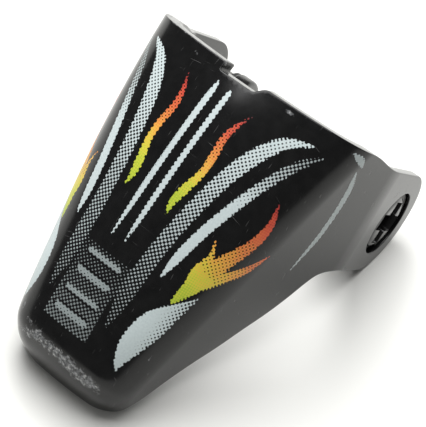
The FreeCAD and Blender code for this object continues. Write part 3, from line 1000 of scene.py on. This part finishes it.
def quads(base, rows_n, n, polys, closed=True):
    for k in range(rows_n - 1):
        for i in range(n if closed else n - 1):
            j = (i + 1) % n
            polys.append((base + k * n + i, base + k * n + j, base + (k + 1) * n + j, base + (k + 1) * n + i))


def cross_loop(tip, arm, n_side=5):
    """Plus-shaped socket outline with small corner radii."""
    h, w = tip / 2, arm / 2
    one = [(w, h), (w, w), (h, w)]
    pts = []
    for q in range(4):
        c, s_ = [(1, 0), (0, -1), (-1, 0), (0, 1)][q], [(0, 1), (1, 0), (0, -1), (-1, 0)][q]
        for x, y in one:
            pts.append((x * c[0] + y * s_[0], x * c[1] + y * s_[1]))
    P = [np.array(p) for p in pts]
    out = []
    for k, p in enumerate(P):
        a, b = P[k - 1], P[(k + 1) % len(P)]
        r = 0.16 if k % 3 != 1 else 0.24
        ua, ub = (a - p) / np.linalg.norm(a - p), (b - p) / np.linalg.norm(b - p)
        for t in np.linspace(0, 1, n_side):
            out.append((1 - t) ** 2 * (p + ua * r) + 2 * t * (1 - t) * p + t * t * (p + ub * r))
    return np.array(out)


def grown(loop, d):
    t = np.roll(loop, -1, 0) - np.roll(loop, 1, 0)
    t /= np.linalg.norm(t, axis=1)[:, None]
    area = 0.5 * np.sum(loop[:, 0] * np.roll(loop[:, 1], -1) - np.roll(loop[:, 0], -1) * loop[:, 1])
    return loop + np.stack([t[:, 1], -t[:, 0]], 1) * np.sign(area) * d


def make_hub(side, name):
    n = 144
    outline = [(6.60, 3.30), (6.60, 4.10), (8.40, 4.10), (8.40, 2.91), (12.43, 2.91), (12.43, 2.70), (12.87, 2.70), (12.87, 2.895),
               (12.915, 2.83), (13.01, 2.63), (13.06, 2.43), (13.08, 2.20), (13.08, 2.0)]
    prof = round_profile(outline, [0, 0.45, 0.25, 0.05, 0.04, 0.03, 0.03, 0.02, 0.03, 0.05, 0.05, 0.05, 0])
    pts, polys = [], []
    for x, r in prof:
        pts.extend(ring_of(x, r, side, n).tolist())
    quads(0, len(prof), n, polys)
    polys.append(tuple(range(n)))
    polys.append(tuple(range((len(prof) - 1) * n, len(prof) * n)))
    loop = cross_loop(4.86, 1.84, 4)
    m = len(loop)
    cpts, cpolys = [], []
    for x in (5.0, 8.0, 11.0, 15.0):
        cpts.extend(np.stack([np.full(m, x * side), loop[:, 0], loop[:, 1]], 1).tolist())
    quads(0, 4, m, cpolys)
    cpolys += [tuple(range(m)), tuple(range(3 * m, 4 * m))]
    big = 100.0                                   # cut at a larger scale, for exactness
    pair = []
    for nm, p_, f_ in (("blank", pts, polys), ("socket", cpts, cpolys)):
        m_ = bpy.data.meshes.new(nm)
        m_.from_pydata((np.array(p_) * MM * big).tolist(), [], f_)
        b = bmesh.new()
        b.from_mesh(m_)
        bmesh.ops.recalc_face_normals(b, faces=b.faces[:])
        b.to_mesh(m_)
        b.free()
        o_ = bpy.data.objects.new(nm, m_)
        bpy.context.collection.objects.link(o_)
        pair.append(o_)
    mod = pair[0].modifiers.new("cut", "BOOLEAN")
    mod.operation, mod.solver, mod.object = "DIFFERENCE", "EXACT", pair[1]
    bpy.context.view_layer.update()
    got = bpy.data.meshes.new_from_object(pair[0].evaluated_get(bpy.context.evaluated_depsgraph_get()))
    b = bmesh.new()
    b.from_mesh(got)
    bmesh.ops.remove_doubles(b, verts=b.verts[:], dist=1e-5)
    # ease the socket's mouths
    lip_e = [e for e in b.edges if len(e.link_faces) == 2 and e.calc_face_angle(0) > math.radians(52)
             and (abs(e.verts[0].co.x) > 0.0128 * big or abs(e.verts[0].co.x) < 0.00665 * big)
             and max(math.hypot(v.co.y, v.co.z) for v in e.verts) < 0.00275 * big]
    bmesh.ops.bevel(b, geom=lip_e, offset=0.00004 * big, segments=2, profile=0.5, affect="EDGES", clamp_overlap=True)
    pts2 = [(v.co.x / (MM * big), v.co.y / (MM * big), v.co.z / (MM * big)) for v in b.verts]
    for k, v in enumerate(b.verts):
        v.index = k
    polys2 = [tuple(v.index for v in f.verts) for f in b.faces]
    b.free()
    for o_ in pair:
        bpy.data.objects.remove(o_)
    o = mesh_object(name + "_hub_body", pts2, polys2, name + "_hub", name + "_pivot_hub", hub_mat)
    o.data.set_sharp_from_angle(angle=math.radians(38))


def make_washer(side, name):
    n = 128
    prof = round_profile([(8.63, 2.93), (8.41, 2.93), (8.41, 3.95), (8.85, 3.95), (8.85, 2.93), (8.63, 2.93)], [0, 0.06, 0.1, 0.1, 0.06, 0])
    pts, polys = [], []
    for x, r in prof[:-1]:
        pts.extend(ring_of(x, r, side, n).tolist())
    quads(0, len(prof) - 1, n, polys)
    k = len(prof) - 2
    for i in range(n):
        j = (i + 1) % n
        polys.append((k * n + i, k * n + j, j, i))
    mesh_object(name + "_washer_ring", pts, polys, NODE_BODY[name + "_friction_washer"], name + "_friction_washer", washer_mat)


def make_clip(side, name):
    prof = round_profile([(12.65, 2.71), (12.45, 2.71), (12.45, 3.42), (12.85, 3.42), (12.85, 2.71), (12.65, 2.71)], [0, 0.06, 0.1, 0.1, 0.06, 0])[:-1]
    n, m = 120, len(prof)
    half_gap = math.asin(1.7 / 3.05)
    a = np.linspace(math.pi + half_gap, 3 * math.pi - half_gap, n)     # open towards -v
    pts, polys = [], []
    for t in a:
        for x, r in prof:
            pts.append((x * side, r * math.cos(t), r * math.sin(t)))
    for i in range(n - 1):
        for k in range(m):
            l = (k + 1) % m
            polys.append((i * m + k, i * m + l, (i + 1) * m + l, (i + 1) * m + k))
    for i, sgn in ((0, -1), (n - 1, 1)):
        # rounded ends
        t = a[i]
        prev = [i * m + k for k in range(m)]
        cx, cr = 12.65, 3.065
        for q, (shift, scale) in enumerate(((0.05, 0.94), (0.09, 0.80), (0.11, 0.5))):
            b_ = len(pts)
            tt = t + sgn * shift / 3.05
            for x, r in prof:
                xx, r2 = cx + (x - cx) * scale, cr + (r - cr) * scale
                pts.append((xx * side, r2 * math.cos(tt), r2 * math.sin(tt)))
            now = list(range(b_, b_ + m))
            for k in range(m):
                l = (k + 1) % m
                polys.append((prev[k], prev[l], now[l], now[k]))
            prev = now
        polys.append(tuple(prev))
    o = mesh_object(name + "_snap_ring", pts, polys, NODE_BODY[name + "_retaining_ring"], name + "_retaining_ring", ring_mat)


NODE_BODY = {s_ + "_" + k: s_ + "_hub" for s_ in ("right", "left") for k in ("friction_washer", "retaining_ring")}
for name, side in (("right", 1), ("left", -1)):
    make_hub(side, name)
    make_clip(side, name)
    make_washer(side, name)

# ----------------------------------------------------------------------
# floor, light, camera
# ----------------------------------------------------------------------
fl = bpy.data.meshes.new("floor")
fl.from_pydata([(-0.6, -0.6, 0), (0.6, -0.6, 0), (0.6, 0.6, 0), (-0.6, 0.6, 0)], [], [(0, 1, 2, 3)])
floor = bpy.data.objects.new("floor", fl)
floor.location.z = -0.00002
bpy.context.collection.objects.link(floor)
fm = Net("pale_table")
fn = fm.noise(fm.coords("Object"), 60, 3, 0.5)
fm.put(fm.p, "Base Color", fm.ramp(fn, [(0.3, (0.83, 0.83, 0.80)), (0.7, (0.85, 0.85, 0.82))]))
fm.p.inputs["Roughness"].default_value = 0.6
fl.materials.append(fm.m)

world = bpy.data.worlds.new("studio")
bpy.context.scene.world = world
world.use_nodes = True
wt = world.node_tree
wt.nodes.clear()
wo_ = wt.nodes.new("ShaderNodeOutputWorld")
bg = wt.nodes.new("ShaderNodeBackground")
bg.inputs["Color"].default_value = (1.0, 1.0, 0.985, 1)
bg.inputs["Strength"].default_value = 0.17
wt.links.new(bg.outputs[0], wo_.inputs[0])


def area(name, loc, target, size, watts, color=(1, 1, 1)):
    d = bpy.data.lights.new(name, "AREA")
    d.shape = "RECTANGLE"
    d.size, d.size_y = size
    d.energy = watts
    d.color = color
    o = bpy.data.objects.new(name, d)
    bpy.context.collection.objects.link(o)
    o.location = loc
    o.rotation_mode = "QUATERNION"
    o.rotation_quaternion = (Vector(target) - Vector(loc)).to_track_quat("-Z", "Y")
    return o


area("overhead", (-0.08, 0.13, 0.44), (0, 0, 0), (0.46, 0.46), 3.75)
area("softbox", (-0.28, 0.32, 0.42), (0, 0, 0), (0.20, 0.20), 0.9)
bpy.context.scene.view_settings.view_transform = "Standard"

# camera, solved in the mask's own frame and carried into the row frame
cam_az, cam_el, cam_roll = math.radians(18.162), math.radians(10.144), math.radians(32.698)
focal_px, cam_d, cam_t = 1697.72, 167.93, np.array([-0.282, -8.128, 8.0])
c = np.array([math.sin(cam_az) * math.cos(cam_el), math.sin(cam_el), math.cos(cam_az) * math.cos(cam_el)])
right = np.cross([0, 1, 0], c)
right /= np.linalg.norm(right)
up = np.cross(c, right)
rr = math.cos(cam_roll) * right + math.sin(cam_roll) * up
uu = -math.sin(cam_roll) * right + math.cos(cam_roll) * up
cd = bpy.data.cameras.new("camera")
cd.sensor_width = 36.0
cd.lens = 36.0 * focal_px / 427.0
cd.clip_start, cd.clip_end = 0.005, 5.0
cam = bpy.data.objects.new("camera", cd)
bpy.context.collection.objects.link(cam)
place = row(cam_t + c * cam_d)
X, Y, Z = rowdir(rr), rowdir(uu), rowdir(c)
cam.matrix_world = Matrix(((X[0], Y[0], Z[0], place[0]), (X[1], Y[1], Z[1], place[1]), (X[2], Y[2], Z[2], place[2]), (0, 0, 0, 1)))
bpy.context.scene.camera = cam

bpy.context.view_layer.update()
